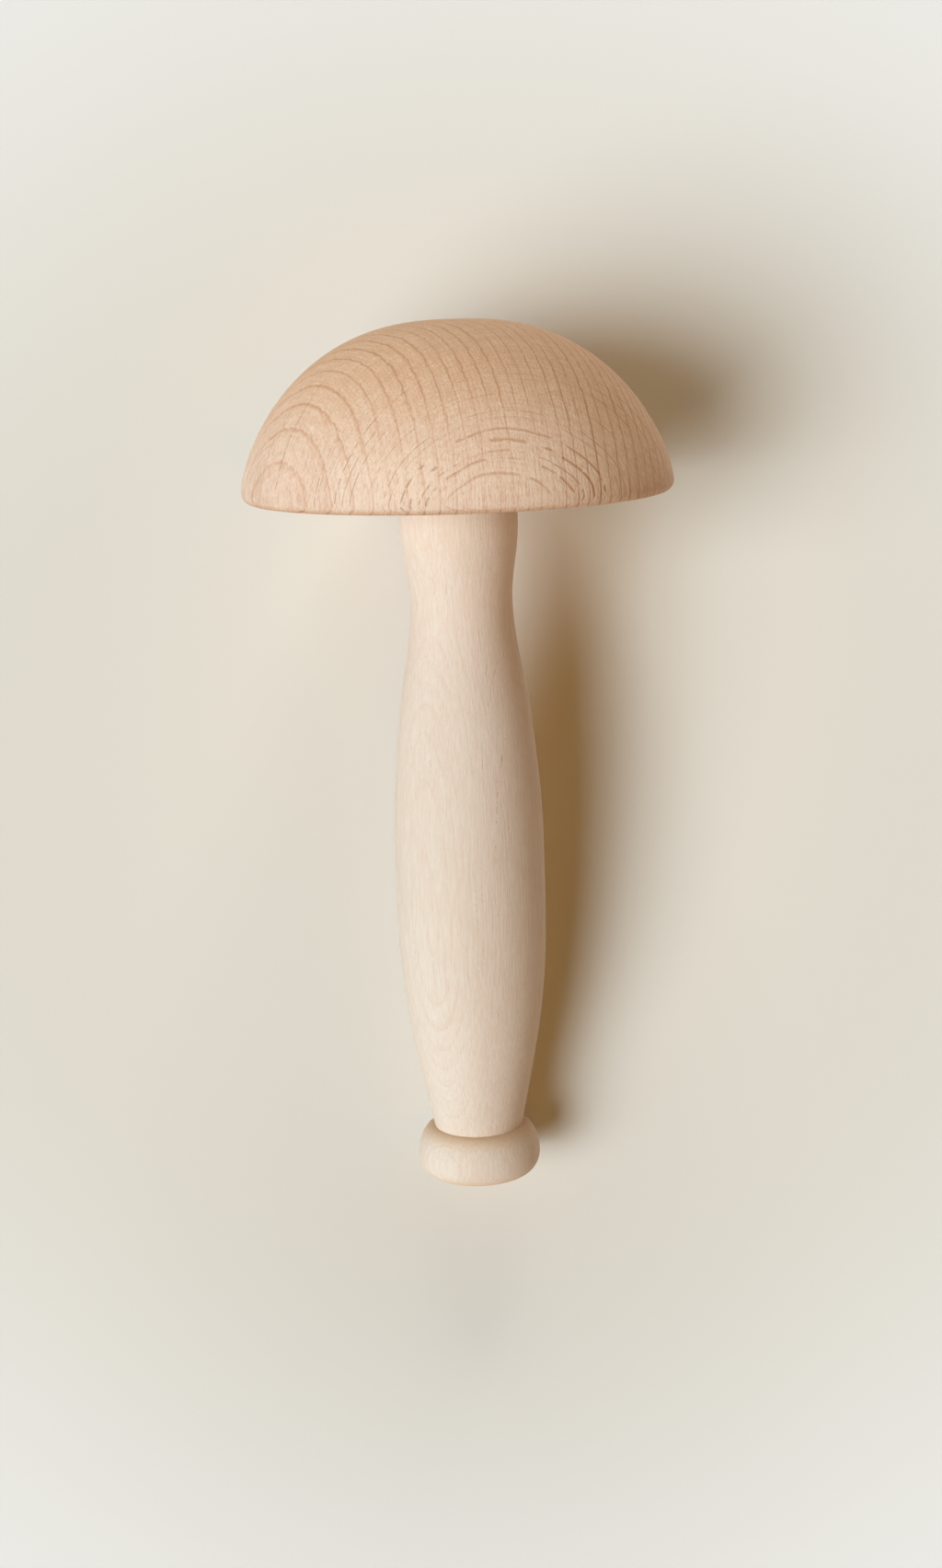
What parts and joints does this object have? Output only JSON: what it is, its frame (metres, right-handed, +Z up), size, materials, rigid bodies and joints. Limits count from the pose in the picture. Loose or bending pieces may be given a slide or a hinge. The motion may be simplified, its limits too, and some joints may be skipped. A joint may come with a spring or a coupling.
{
  "type": "darning mushroom",
  "caption": "Wooden darning mushroom: a domed beech cap with a flat underside, pushed onto a turned swelling handle of paler wood with a rounded foot ring.",
  "frame": {"origin": "centre of the flat bottom of the foot, where the mushroom stands", "axes": "+Z up along the turning axis, from the foot to the crown of the cap; the piece is round about Z, and the side seen in the picture faces -Y, with +X to its right"},
  "size_m": [0.07, 0.07, 0.144],
  "materials": {
    "handle_wood": "pale close-grained wood, turned and sanded smooth, left bare",
    "cap_wood": "pinkish tan beech with visible growth rings and ray flecks, turned and sanded smooth, left bare"
  },
  "bodies": {
    "handle": {"handle": "handle_wood"},
    "cap": {"cap": "cap_wood"}
  },
  "joints": [
    {"name": "cap_pull", "type": "slide", "parent": "handle", "child": "cap", "axis": [0, 0, 1], "range_m": [0, 0.02]}
  ]
}
